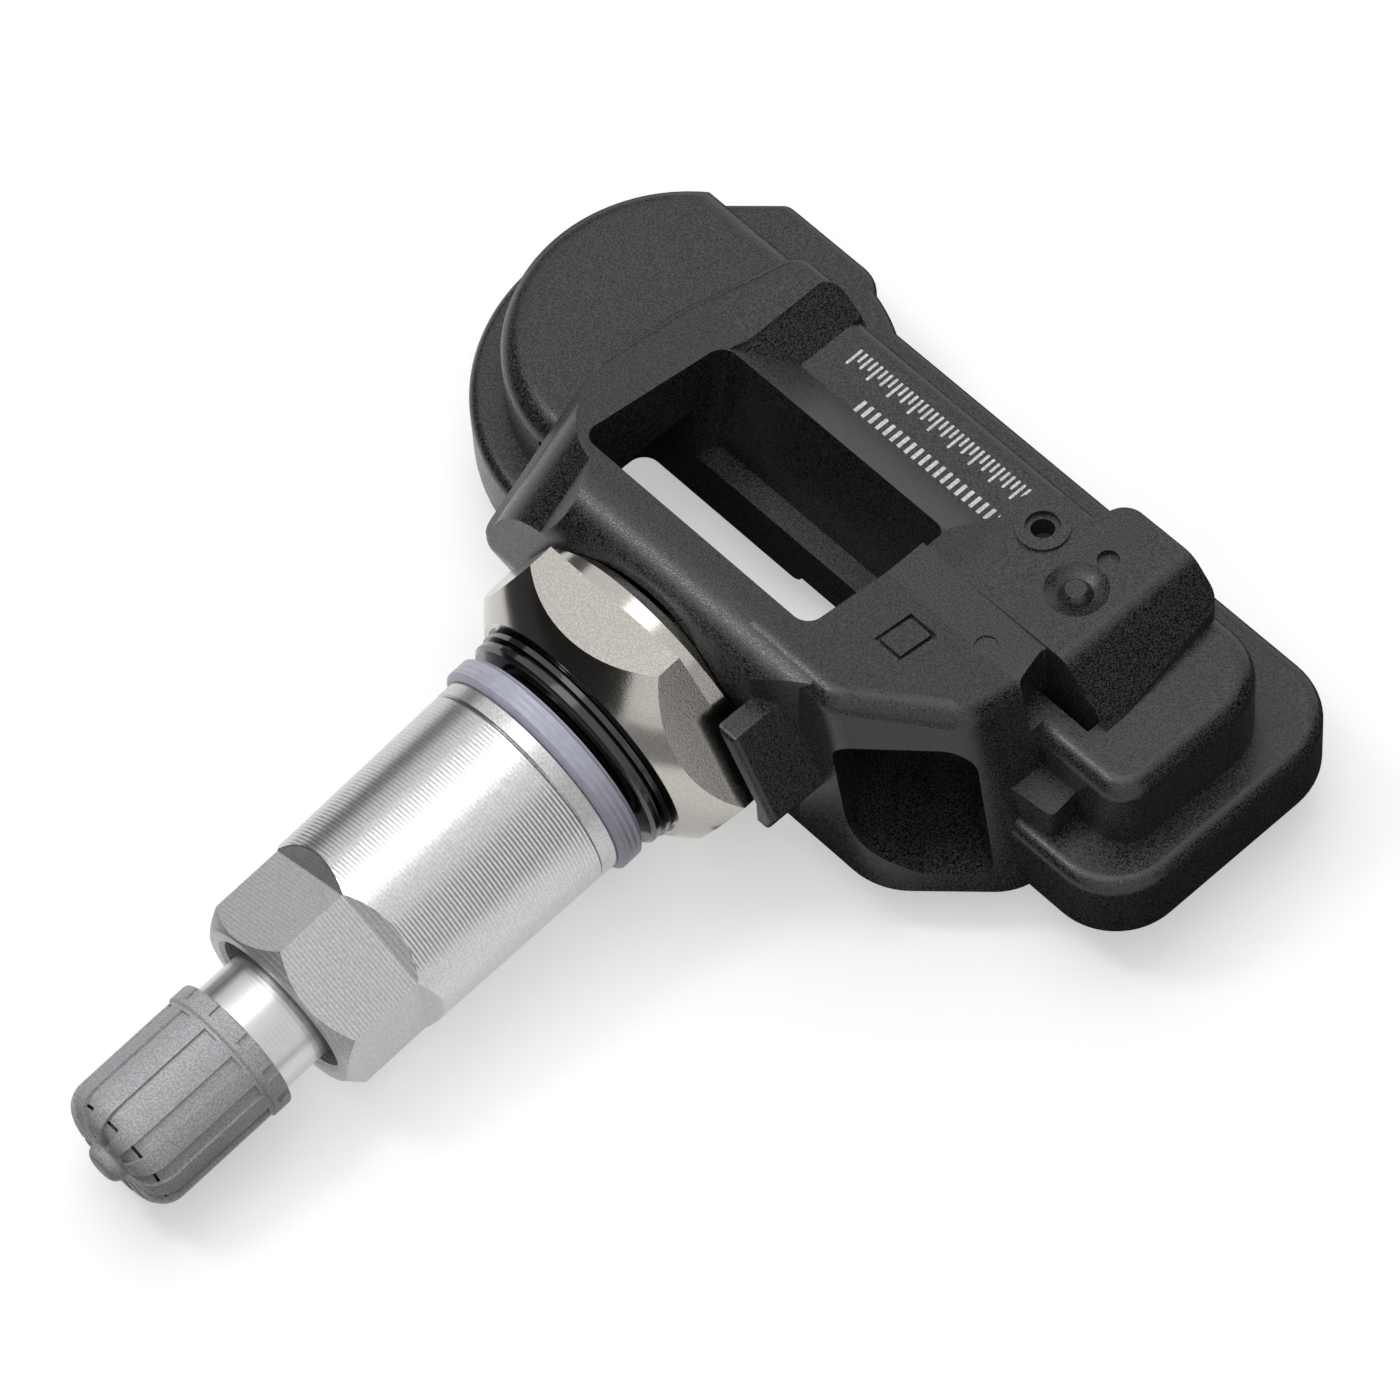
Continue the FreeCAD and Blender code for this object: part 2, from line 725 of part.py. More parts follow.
def left_limb():
    """Left leg of the window frame, which runs back over the edge of the dome."""
    over = FRAME_FRONT_Z + 2
    across = prism_y([
        (LIMB_LEFT_X - 1.3, -PLATE_T, 0),
        (LIMB_LEFT_X - 1.3, 0, 0),
        (LIMB_LEFT_X - 0.9, over, 0),
        (WINDOW_LEFT_X, over, 0),
        (WINDOW_LEFT_X + 0.4, LIMB_BACK_Z + 0.2, 1.5),
        (LIMB_FOOT_X, BLOCK_TOP_Z, 0),
        (LIMB_FOOT_X, 0, 0),
        (LIMB_FOOT_X, -PLATE_T, 0),
    ], FRONT_Y, BLOCK_BACK_Y)
    along = prism_x([
        (FRONT_FOOT_Y, -PLATE_T, 0.8),
        (FRONT_Y, 0, 3.0),
        (FRONT_Y, frame_top(FRONT_Y), FRONT_TOP_R),
        (WINDOW_BACK_Y + 1.5, LIMB_BACK_Z, 3.0),
        (BLOCK_BACK_Y, LIMB_BACK_Z, 1.2),
        (BLOCK_BACK_Y, -PLATE_T, 0),
    ], LIMB_LEFT_X - 3, LIMB_FOOT_X + 1)
    plan = prism_z([
        (LIMB_LEFT_X - 1.5, FRONT_Y - 1, 0),
        (LIMB_FOOT_X + 1, FRONT_Y - 1, 0),
        (LIMB_FOOT_X + 1, BLOCK_BACK_Y, 0),
        (LIMB_LEFT_X + 0.9, BLOCK_BACK_Y, 1.8),
        (LIMB_LEFT_X - 1.1, WINDOW_BACK_Y + 0.5, 9.0),
    ], -PLATE_T, over)
    limb = across.common(along).common(plan)
    ridge = [e for e in limb.Edges if limb_ridge(e)]
    return limb.makeFillet(LIMB_EDGE_R, ridge)


def limb_ridge(edge):
    """True for the outer top edges of the left limb."""
    middle = edge.valueAt((edge.FirstParameter + edge.LastParameter) / 2)
    outside = middle.x < LIMB_LEFT_X + 2.6 or middle.y > BLOCK_BACK_Y - SLIVER
    return outside and middle.z > LIMB_BACK_Z - 0.4 and edge.BoundBox.ZMin > BLOCK_TOP_Z + 1 and middle.y > 0


def window_frame():
    """Front wall and left limb together, with the slanted front left corner."""
    whole = front_limb().fuse(left_limb()).removeSplitter()
    low = V(LIMB_LEFT_X, -0.6, 4.1)
    high = V(LIMB_LEFT_X, 6.3, 9.6)
    right = V(LIMB_LEFT_X + 4.3, FRONT_Y, 8.2)
    outward = (low - high).cross(right - high)
    outward.normalize()
    slab = Part.makeBox(40, 40, 20, V(-20, -20, 0))
    slab.Placement = FreeCAD.Placement(high - outward, FreeCAD.Rotation(V(0, 0, 1), outward))
    along = low - high
    along.normalize()
    across = outward.cross(along)
    centre = high + across * CORNER_SHIFT - outward * CORNER_R
    round_over = Part.makeCylinder(CORNER_R, 60, centre - along * 30, along)
    return whole.cut(slab.cut(round_over))


def right_body():
    """Front right part: a drafted block whose outer corner is cut off at a slant."""
    foot = rounded_outline([
        (WINDOW_RIGHT_X - 2.4, FRONT_FOOT_Y, 0),
        (17.6, FRONT_FOOT_Y, 5.0),
        (23.8, 6.5, 4.0),
        (23.8, 13.0, 0),
        (WINDOW_RIGHT_X - 2.4, 13.0, 0),
    ], lift_xy(-PLATE_T))
    top = rounded_outline([
        (WINDOW_RIGHT_X - 2.4, 0.7, 0),
        (13.4, 0.7, 2.0),
        (19.6, 6.0, 2.0),
        (20.2, 13.2, 0),
        (WINDOW_RIGHT_X - 2.4, 13.2, 0),
    ], lift_xy(FRAME_FRONT_Z + 0.6))
    drafted = Part.makeLoft([foot, top], True, True)
    roof = prism_x(sharp([
        (-3, -PLATE_T - 1),
        (-3, frame_top(-3)),
        (WINDOW_FRONT_Y, frame_top(WINDOW_FRONT_Y)),
        (10.2, RIGHT_TOP_Z),
        (14, RIGHT_TOP_Z),
        (14, -PLATE_T - 1),
    ]), 0, 30)
    body = drafted.common(roof)
    rims = [e for e in body.Edges if e.BoundBox.ZMin > RIGHT_TOP_Z - 0.1 and outer_rim(e)]
    return body.makeFillet(1.3, rims)


def outer_rim(edge):
    """True for the top edges on the outside of the front right body."""
    middle = edge.valueAt((edge.FirstParameter + edge.LastParameter) / 2)
    return middle.y < 12.9 and middle.x > WINDOW_RIGHT_X - 2 and not (edge.BoundBox.YLength < SLIVER)


def right_block():
    """Tall block over the pressure port, with a long slope down to the step."""
    profile = prism_y([
        (WINDOW_RIGHT_X, 0, 0),
        (WINDOW_RIGHT_X, RIGHT_TOP_Z - 0.7, 0),
        (11.5, RIGHT_TOP_Z, 3.0),
        (20.9, RIGHT_TOP_Z + 0.2, 1.6),
        (24.4, BLOCK_TOP_Z, 0),
        (24.4, 0, 0),
    ], STEP_SLOT_BACK_Y, BLOCK_BACK_Y)
    plan = prism_z([
        (WINDOW_RIGHT_X, 12.5, 0),
        (24.6, 12.5, 0),
        (23.2, BLOCK_BACK_Y, 1.0),
        (15.6, BLOCK_BACK_Y, 1.5),
        (14.4, 20.6, 1.0),
        (PORT_X, PORT_Y, 0),
        (10.4, 17.6, 1.5),
        (WINDOW_RIGHT_X, WINDOW_BACK_Y, 0),
    ], 0, RIGHT_TOP_Z + 1)
    boss = rod(PORT_RING_R + 0.5, PORT_X, PORT_Y, 0, RIGHT_TOP_Z - 0.1)
    ring = rod(PORT_RING_R - 0.5, PORT_X, PORT_Y, RIGHT_TOP_Z - 0.2, RIGHT_TOP_Z + 0.25)
    ring = ring.cut(rod(PORT_HOLE_R + 0.35, PORT_X, PORT_Y, RIGHT_TOP_Z - 1, RIGHT_TOP_Z + 1))
    return profile.common(plan).fuse([boss, ring]).removeSplitter()


def window_cut():
    """Window through the frame, and the slot below it that reaches under the dome."""
    over = FRAME_FRONT_Z + 3
    low = -PLATE_T - 1
    window = prism_x(sharp([
        (WINDOW_FRONT_Y, over),
        (WINDOW_FRONT_Y, low),
        (SLOT_BACK_Y, low),
        (SLOT_BACK_Y, LEDGE_Z),
        (BLOCK_FRONT_Y, LEDGE_Z),
        (WINDOW_BACK_Y, FRAME_BACK_Z),
        (WINDOW_BACK_Y, over),
    ]), WINDOW_LEFT_X, WINDOW_RIGHT_X)
    upright = [e for e in window.Edges if e.BoundBox.XLength < SLIVER and e.BoundBox.ZLength > 1]
    corners = [e for e in upright if e.BoundBox.ZMin > LEDGE_Z - SLIVER or e.BoundBox.ZLength > 12]
    window = window.makeFillet(WINDOW_CORNER_R, corners)
    slot = prism_z([
        (SLOT_LEFT_X, WINDOW_FRONT_Y, 0.8),
        (WINDOW_LEFT_X + 1, WINDOW_FRONT_Y, 0),
        (WINDOW_LEFT_X + 1, SLOT_BACK_Y, 0),
        (SLOT_LEFT_X, SLOT_BACK_Y, 1.2),
    ], low, SLOT_ROOF_Z)
    return window.fuse(slot)


def swivel_cut():
    """Round socket for the collar's back, screw slot and the washer's track."""
    pivot = pivot_in_housing()
    mouth_y = FRONT_Y - 3
    mouth = Part.makeCylinder(SOCKET_MOUTH_R, SOCKET_FLOOR_Y - mouth_y, V(0, mouth_y, pivot.z), V(0, 1, 0))
    ball = Part.makeSphere(BALL_R + RUN, pivot)
    socket = mouth.common(ball)
    low = VALVE_TILT - SWIVEL_HIGH
    high = VALVE_TILT - SWIVEL_LOW
    wall_r = front_wall_inner_r()
    shaft = SCREW_THREAD_R + 0.15
    slot = obround(shaft, wall_r, low, high, 0, wall_r + 3)
    track = obround(SCREW_WASHER_R + 0.3, wall_r, low, high, wall_r - 3, wall_r + 3)
    track = track.cut(Part.makeSphere(wall_r, pivot))
    return socket.fuse([slot, track])


def obround(half_width, radius, low, high, t0, t1):
    """Slot along the swivel's arc, between two tilts, cut along the ball's level axis."""
    z0 = radius * math.sin(math.radians(low))
    z1 = radius * math.sin(math.radians(high))
    outline = rounded_outline([
        (-half_width, -z1 - half_width, half_width - SLIVER),
        (half_width, -z1 - half_width, half_width - SLIVER),
        (half_width, -z0 + half_width, half_width - SLIVER),
        (-half_width, -z0 + half_width, half_width - SLIVER),
    ], lift_xy(t0))
    return neutral_pose(Part.Face(outline).extrude(V(0, 0, t1 - t0)))


def scoop_cut():
    """Scooped pocket in the slanted front right corner."""
    tilt = 40.0
    pocket = prism_y([
        (-4.9, 6.6, 1.4),
        (-3.9, -1.8, 3.4),
        (0.6, -4.0, 1.0),
        (4.9, -3.9, 0.9),
        (3.7, 6.9, 2.2),
    ], -3.2, 6.5)
    pocket.rotate(V(0, 0, 0), V(0, 0, 1), tilt)
    pocket.translate(V(17.9, 3.4, 0))
    return pocket


def notch_cut():
    """Pocket between the front right body and the step."""
    above = prism_z([
        (19.9, 10.2, 0.8),
        (26, 9.0, 0),
        (26, STEP_SLOT_BACK_Y, 0),
        (19.2, STEP_SLOT_BACK_Y, 0.4),
    ], BLOCK_TOP_Z, FRAME_FRONT_Z + 2)
    return above.fuse(box(19.4, 23.6, STEP_SLOT_BACK_Y - 0.8, STEP_SLOT_BACK_Y, 1.5, FRAME_FRONT_Z))


def side_tab():
    return prism_z([(18.5, 7.4, 0), (24.9, 8.0, 0.5), (24.6, 11.0, 0), (18.5, 11.0, 0)], -1, 2.5)


def stud_dimple():
    """Round dimple with a domed stud in it, beside the port."""
    top = V(STUD_X, STUD_Y, RIGHT_TOP_Z)
    bowl = Part.makeSphere(3.2, top + V(0, 0, 2.65))
    stud = Part.makeSphere(1.1, top + V(0, 0, -0.75))
    return bowl.cut(stud)


def round_marks():
    """Two shallow round mould marks in the top."""
    near = rod(0.75, 16.8, 10.7, RIGHT_TOP_Z - 0.12, RIGHT_TOP_Z + 1)
    far = rod(0.7, 17.6, 20.0, RIGHT_TOP_Z - 0.25, RIGHT_TOP_Z + 1)
    return near.fuse(far)


def plain_mark():
    """Plain frame engraved in the top face beside the window."""
    low = RIGHT_TOP_Z - 1
    outer = box(MARK_X - 1.1, MARK_X + 1.1, MARK_Y - 1.5, MARK_Y + 1.5, low, low + 4)
    inner = box(MARK_X - 0.85, MARK_X + 0.85, MARK_Y - 1.25, MARK_Y + 1.25, low, low + 4)
    surface = prism_x(sharp([
        (0, frame_top(0) - MARK_DEPTH),
        (14, frame_top(14) - MARK_DEPTH),
        (14, 14),
        (0, 14),
    ]), MARK_X - 3, MARK_X + 3)
    return outer.cut(inner).common(surface)


def collar_lug():
    """Claw on the front wall beside one corner of the collar, to stop it turning."""
    inner = COLLAR_AF / math.sqrt(3) + LUG_GAP
    run = LUG_TOP_Z - LUG_HEEL_Z
    top = inner - run * math.tan(math.radians(30))
    claw = prism_y(sharp([
        (top, LUG_TOP_Z),
        (top + 1.45, LUG_TOP_Z),
        (inner + 1.6, LUG_HEEL_Z - 0.5),
        (inner + 1.0, LUG_FOOT_Z),
        (inner, LUG_FOOT_Z),
        (inner, LUG_HEEL_Z),
    ]), LUG_FRONT_Y, SOCKET_FLOOR_Y)
    front = [e for e in claw.Edges if e.BoundBox.YMax < LUG_FRONT_Y + SLIVER]
    return claw.makeFillet(LUG_EDGE_R, front)


def cavity_outline(low, high, inset):
    """Plan of the compartment for the board, shrunk by an inset."""
    return prism_z([
        (CELL_X, BLOCK_FRONT_Y + WALL + inset, 0.8),
        (STEP_RIGHT_X - WALL - inset, BLOCK_FRONT_Y + WALL + inset, 0.8),
        (STEP_RIGHT_X - WALL - inset, BLOCK_BACK_Y - WALL - inset, 3.4),
        (CELL_X, BLOCK_BACK_Y - WALL - inset, 0.8),
    ], low, high)


def inner_cavity():
    """Room for the cell and the board, open at the underside until it is potted."""
    low = -PLATE_T - 1
    run = cavity_outline(low, BLOCK_TOP_Z - WALL, 0)
    cell = rod(CELL_R + CELL_GAP, CELL_X, CELL_Y, low, CELL_Z + CELL_T + 0.7)
    tower = box(PORT_X + 3.4, PORT_X + 6.8, BLOCK_FRONT_Y + WALL, BLOCK_BACK_Y - WALL, 0, TOWER_ROOF_Z)
    shaft = rod(PORT_SEAL_R, PORT_X, PORT_Y, 0, TOWER_ROOF_Z)
    return run.fuse([cell, tower, shaft])


def battery():
    return rod(CELL_R, CELL_X, CELL_Y, CELL_Z, CELL_Z + CELL_T)


def battery_tab_top():
    """Strip from the top of the cell to the underside of the board."""
    top = CELL_Z + CELL_T
    return box(CELL_X - 2, BOARD_LEFT_X + 2.4, CELL_Y - 1.6, CELL_Y + 1.6, top, top + TAB_T)


def battery_tab_under():
    """Strip from the bottom of the cell, bent up to the board."""
    top = BOARD_Z
    strip = box(CELL_X - 2, BOARD_LEFT_X + 4.2, CELL_Y - 1.6, CELL_Y + 1.6, CELL_Z - TAB_T, CELL_Z)
    leg = box(BOARD_LEFT_X + 4.2 - TAB_T, BOARD_LEFT_X + 4.2, CELL_Y - 1.6, CELL_Y + 1.6, CELL_Z - TAB_T, top)
    return strip.fuse(leg).removeSplitter()


def circuit_board():
    plan = cavity_outline(BOARD_Z, BOARD_Z + BOARD_T, 0.15)
    return plan.common(box(BOARD_LEFT_X, 50, 0, 50, -10, 10))


def board_top():
    return BOARD_Z + BOARD_T


def sensor_chip():
    """Pressure chip with its inlet right under the port."""
    body = box(PORT_X - 2.5, PORT_X + 2.5, PORT_Y - 2.5, PORT_Y + 2.5, board_top(), board_top() + CHIP_T)
    inlet = rod(PORT_HOLE_R, PORT_X, PORT_Y, board_top() + CHIP_T - 0.5, board_top() + CHIP_T + 1)
    return body.cut(inlet)


def port_seal():
    """Rubber sleeve that leads the air from the port to the chip."""
    low = board_top() + CHIP_T
    high = TOWER_ROOF_Z - FILTER_T
    return rod(PORT_SEAL_R, PORT_X, PORT_Y, low, high).cut(rod(PORT_HOLE_R + 0.2, PORT_X, PORT_Y, low, high))


def port_filter():
    return rod(PORT_SEAL_R, PORT_X, PORT_Y, TOWER_ROOF_Z - FILTER_T, TOWER_ROOF_Z)


def antenna_core():
    """Ferrite bobbin lying on the board."""
    low = board_top()
    x0 = ANTENNA_X
    x1 = ANTENNA_X + ANTENNA_LENGTH
    mid = CELL_Y
    ends = box(x0, x0 + 1.2, mid - 1.5, mid + 1.5, low, low + 3.0)
    far = box(x1 - 1.2, x1, mid - 1.5, mid + 1.5, low, low + 3.0)
    waist = box(x0, x1, mid - 0.8, mid + 0.8, low + 0.7, low + 2.3)
    return waist.fuse([ends, far]).removeSplitter()


def antenna_winding():
    """Coil of fine wire round the ferrite's waist."""
    low = board_top() + 0.7
    x0 = ANTENNA_X + 1.2
    x1 = ANTENNA_X + ANTENNA_LENGTH - 1.2
    mid = CELL_Y
    outer = prism_x([(mid - 1.3, low - 0.5, 0.4), (mid + 1.3, low - 0.5, 0.4), (mid + 1.3, low + 2.1, 0.4),
                     (mid - 1.3, low + 2.1, 0.4)], x0, x1)
    return outer.cut(box(x0 - 1, x1 + 1, mid - 0.8, mid + 0.8, low, low + 1.6))


def crystal():
    """Small metal can that times the radio signal."""
    low = board_top()
    return prism_z([
        (20.3, 17.6, 0.4),
        (23.5, 17.6, 0.4),
        (23.5, 20.1, 0.4),
        (20.3, 20.1, 0.4),
    ], low, low + 0.9)


def potting():
    """Resin that closes the underside and holds the cell, up to the board's underside."""
    fill = inner_cavity().common(box(-40, 40, 0, 40, -PLATE_T + POTTING_SINK, BOARD_Z))
    return fill.cut(battery()).cut(battery_tab_top()).cut(battery_tab_under())


def housing():
    body = base_plate()
    body = body.fuse([
        compartment_block(),
        window_frame(),
        right_body(),
        right_block(),
        side_tab(),
        collar_lug(),
    ])
    body = body.cut(window_cut())
    body = body.cut(swivel_cut())
    body = body.cut(scoop_cut())
    body = body.cut([notch_cut(), stud_dimple(), round_marks(), plain_mark()])
    body = body.cut(inner_cavity())
    port = rod(PORT_HOLE_R, PORT_X, PORT_Y, 0, RIGHT_TOP_Z + 2)
    body = body.cut(port)
    return body.removeSplitter()


NODES = {
    "valve_stem": lambda: place_valve(valve_stem()),
    "hex_collar": lambda: place_valve(hex_collar()),
    "grommet": lambda: place_valve(grommet()),
    "seat_ring": lambda: place_valve(seat_ring()),
    "nut_washer": lambda: place_valve(nut_washer()),
    "collar_nut": lambda: place_valve(collar_nut()),
    "valve_cap": lambda: place_valve(valve_cap()),
    "cap_seal": lambda: place_valve(cap_seal()),
    "core_body": lambda: place_valve(core_body()),
    "core_barrel_seal": lambda: place_valve(core_barrel_seal()),
    "core_pin": lambda: place_valve(core_pin()),
    "core_plunger_seal": lambda: place_valve(core_plunger_seal()),
    "core_spring": lambda: place_valve(core_spring()),
    "screw_washer": lambda: place_valve(screw_washer()),
    "valve_screw": lambda: place_valve(valve_screw()),
    "housing": lambda: place_housing(housing()),
    "potting": lambda: place_housing(potting()),
    "battery": lambda: place_housing(battery()),
    "battery_tab_top": lambda: place_housing(battery_tab_top()),
    "battery_tab_under": lambda: place_housing(battery_tab_under()),
    "circuit_board": lambda: place_housing(circuit_board()),
    "sensor_chip": lambda: place_housing(sensor_chip()),
    "port_seal": lambda: place_housing(port_seal()),
    "port_filter": lambda: place_housing(port_filter()),
    "antenna_core": lambda: place_housing(antenna_core()),
    "antenna_winding": lambda: place_housing(antenna_winding()),
    "crystal": lambda: place_housing(crystal()),
}


def main():
    os.makedirs("parts", exist_ok=True)
    for name, make in NODES.items():
        make().exportStep(f"parts/{name}.step")


main()
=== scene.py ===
import math

import bmesh
import bpy
from mathutils import Matrix, Vector


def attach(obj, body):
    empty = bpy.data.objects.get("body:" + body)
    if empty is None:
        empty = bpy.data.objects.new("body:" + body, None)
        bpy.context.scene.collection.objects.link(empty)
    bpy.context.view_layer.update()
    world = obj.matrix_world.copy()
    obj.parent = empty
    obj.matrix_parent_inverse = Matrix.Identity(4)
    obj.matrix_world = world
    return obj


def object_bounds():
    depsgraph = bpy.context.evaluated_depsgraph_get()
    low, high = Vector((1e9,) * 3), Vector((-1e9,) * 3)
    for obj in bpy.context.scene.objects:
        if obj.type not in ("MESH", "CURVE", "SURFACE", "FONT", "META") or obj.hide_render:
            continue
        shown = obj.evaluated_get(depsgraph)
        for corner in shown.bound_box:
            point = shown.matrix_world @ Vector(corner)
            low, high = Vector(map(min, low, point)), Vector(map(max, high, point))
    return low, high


bl_info = {
    "name": "Tyre pressure sensor",
    "version": (1, 0, 0),
    "blender": (4, 5, 0),
    "location": "View3D > Sidebar > Sensor",
    "description": "Finishes a clamp-in tyre pressure sensor and sets its stage",
    "category": "Object",
}

MM = 0.001
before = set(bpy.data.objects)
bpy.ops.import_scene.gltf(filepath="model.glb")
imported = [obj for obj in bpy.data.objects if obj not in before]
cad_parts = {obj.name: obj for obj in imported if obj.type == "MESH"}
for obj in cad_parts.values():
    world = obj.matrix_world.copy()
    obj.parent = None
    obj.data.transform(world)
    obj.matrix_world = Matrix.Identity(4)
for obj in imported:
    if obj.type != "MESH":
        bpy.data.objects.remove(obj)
CAD_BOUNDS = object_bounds()

# The valve leans from the row's Y axis, cap end low. Its axis points into the housing
VALVE_TILT = math.radians(7.0)
VALVE_AXIS = (0.0, math.cos(VALVE_TILT), math.sin(VALVE_TILT))
# The nut's hexagon and its run-outs lie inside this radius, the turned sleeve outside it.
# The finish changes over a narrow step, and is this rough inside
NUT_HEX_R = 6.96 * MM
HEX_STEP = 0.02 * MM
HEX_ROUGHNESS = 0.55

# Plain laser strokes on the housing's roof, in millimetres: the roof's height, how high a stroke
# stands on it, its corner radius, how far each stroke of a run of four reaches, and rows of
# (first x, last x, low y, high y, pitch, width)
PRINT_Z = 4.86
PRINT_HEIGHT = 0.03
PRINT_CORNER = 0.07
PRINT_REACH = (1.0, 0.6, 0.8, 0.6)
PRINT_ROWS = (
    (-2.7, 9.6, 25.8, 27.9, 0.62, 0.27),
    (-5.6, 10.2, 29.0, 30.4, 0.44, 0.19),
)

# Noise and wave textures: scale times size in metres for a blob or ring of that size
NOISE_BLOB = 1.0
WAVE_RING = 0.314
# Noise values at which a grain is at its darkest and its lightest
GRAIN_DARK = 0.42
GRAIN_LIGHT = 0.6

# Camera fitted to the photograph: where it looks, how far it is and how it is turned
LOOK_AT = Vector((3.0, 8.36, -0.73)) * MM
CAMERA_DISTANCE = 0.5
CAMERA_AZIMUTH = math.radians(50.71)
CAMERA_HEIGHT = math.radians(56.91)
CAMERA_ROLL = math.radians(4.79)
CAMERA_NEAR = 0.01
PIXELS_PER_MM = 16.7
IMAGE_WIDTH = 1400
SENSOR_MM = 36.0

# How strongly the floor glows for what sees it, so that it shows as white
FLOOR_GLOW = 0.46
# Faces along a flag's sweep
FLAG_STEPS = 24


def linear(hex_colour):
    """Linear RGBA of an sRGB hex value such as 'c0c0bc'."""
    channels = [int(hex_colour[i:i + 2], 16) / 255 for i in (0, 2, 4)]
    return [c / 12.92 if c <= 0.04045 else ((c + 0.055) / 1.055) ** 2.4 for c in channels] + [1.0]


def node(tree, kind, settings=None, values=None, links=None):
    """Adds a node. Settings are its attributes, values its inputs, links its inputs' sources."""
    made = tree.nodes.new(kind)
    for name, value in (settings or {}).items():
        setattr(made, name, value)
    for name, value in (values or {}).items():
        made.inputs[name].default_value = value
    for name, source in (links or {}).items():
        tree.links.new(source, made.inputs[name])
    return made


def new_material(name, colour, roughness, metallic=0.0):
    """A material with its shader's plain values set. Returns it, its tree and its shader."""
    made = bpy.data.materials.new(name)
    made.use_nodes = True
    tree = made.node_tree
    shader = tree.nodes["Principled BSDF"]
    shader.inputs["Base Color"].default_value = colour
    shader.inputs["Roughness"].default_value = roughness
    shader.inputs["Metallic"].default_value = metallic
    return made, tree, shader


def shade(colour, factor):
    """The same colour, lighter or darker."""
    return [channel * factor for channel in colour[:3]] + [1.0]


def finish_surface(name, colour, metallic=0.0, roughness=0.4, spread=0.1, specular=0.5,
                   blob_mm=0.5, depth_mm=0.01, dark=1.0, light=1.0, ring_mm=0.0, ring_depth_mm=0.0):
    """One finish. Its grain is blob_mm across, stands depth_mm high, and runs from dark to light
    times the colour and over the roughness spread. Rings, where given, run round the valve."""
    made, tree, shader = new_material(name, colour, roughness, metallic)
    shader.inputs["Specular IOR Level"].default_value = specular
    place = node(tree, "ShaderNodeTexCoord").outputs["Object"]
    noise = node(tree, "ShaderNodeTexNoise", None,
                 {"Scale": NOISE_BLOB / (blob_mm * MM), "Detail": 2.0, "Roughness": 0.6},
                 {"Vector": place})
    grain = noise.outputs["Fac"]
    sharper = node(tree, "ShaderNodeMapRange", None,
                   {"From Min": GRAIN_DARK, "From Max": GRAIN_LIGHT, "To Min": 0.0, "To Max": 1.0},
                   {"Value": grain})
    contrast = sharper.outputs["Result"]
    worn = node(tree, "ShaderNodeMapRange", None,
                {"To Min": roughness - spread / 2, "To Max": roughness + spread / 2},
                {"Value": contrast})
    tree.links.new(worn.outputs["Result"], shader.inputs["Roughness"])
    # Grain in the colour, from dark to light times the colour; a light far above 1, as on the
    # housing, paints glints into it
    if dark != light:
        mix = node(tree, "ShaderNodeMix", {"data_type": "RGBA"},
                   {6: shade(colour, dark), 7: shade(colour, light)}, {0: contrast})
        tree.links.new(mix.outputs[2], shader.inputs["Base Color"])
    bump = node(tree, "ShaderNodeBump", None,
                {"Strength": 1.0, "Distance": depth_mm * MM}, {"Height": grain})
    if ring_mm:
        turned = node(tree, "ShaderNodeMapping", None,
                      {"Rotation": (math.radians(90.0) - VALVE_TILT, 0, 0)}, {"Vector": place})
        rings = node(tree, "ShaderNodeTexWave", {"wave_type": "BANDS", "bands_direction": "Z"},
                     {"Scale": WAVE_RING / (ring_mm * MM), "Distortion": 0.1},
                     {"Vector": turned.outputs["Vector"]})
        bump = node(tree, "ShaderNodeBump", None,
                    {"Strength": 1.0, "Distance": ring_depth_mm * MM},
                    {"Height": rings.outputs["Fac"], "Normal": bump.outputs["Normal"]})
    tree.links.new(bump.outputs["Normal"], shader.inputs["Normal"])
    return made


def matt_core(made, roughness, radius):
    """Makes a finish of the valve matt inside a radius about the valve's axis."""
    tree = made.node_tree
    shader = tree.nodes["Principled BSDF"]
    place = node(tree, "ShaderNodeTexCoord").outputs["Object"]
    across = node(tree, "ShaderNodeVectorMath", {"operation": "CROSS_PRODUCT"},
                  {1: VALVE_AXIS}, {0: place})
    away = node(tree, "ShaderNodeVectorMath", {"operation": "LENGTH"}, None,
                {0: across.outputs["Vector"]})
    matt = node(tree, "ShaderNodeMapRange", None,
                {"From Min": radius - HEX_STEP, "From Max": radius,
                 "To Min": roughness, "To Max": 0.0},
                {"Value": away.outputs["Value"]})
    most = node(tree, "ShaderNodeMath", {"operation": "MAXIMUM"}, None,
                {0: matt.outputs["Result"], 1: shader.inputs["Roughness"].links[0].from_socket})
    tree.links.new(most.outputs[0], shader.inputs["Roughness"])
    return made


def colour_property(name, description, hex_colour):
    """A colour that a user may change, given as an sRGB hex value."""
    return bpy.props.FloatVectorProperty(
        name=name, description=description, subtype="COLOR", size=4, min=0.0, max=1.0,
        default=linear(hex_colour))


def give(nodes, material):
    """Puts the material on the slots of these CAD nodes."""
    for name in nodes:
        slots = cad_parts[name].data.materials
        slots.clear()
        slots.append(material)


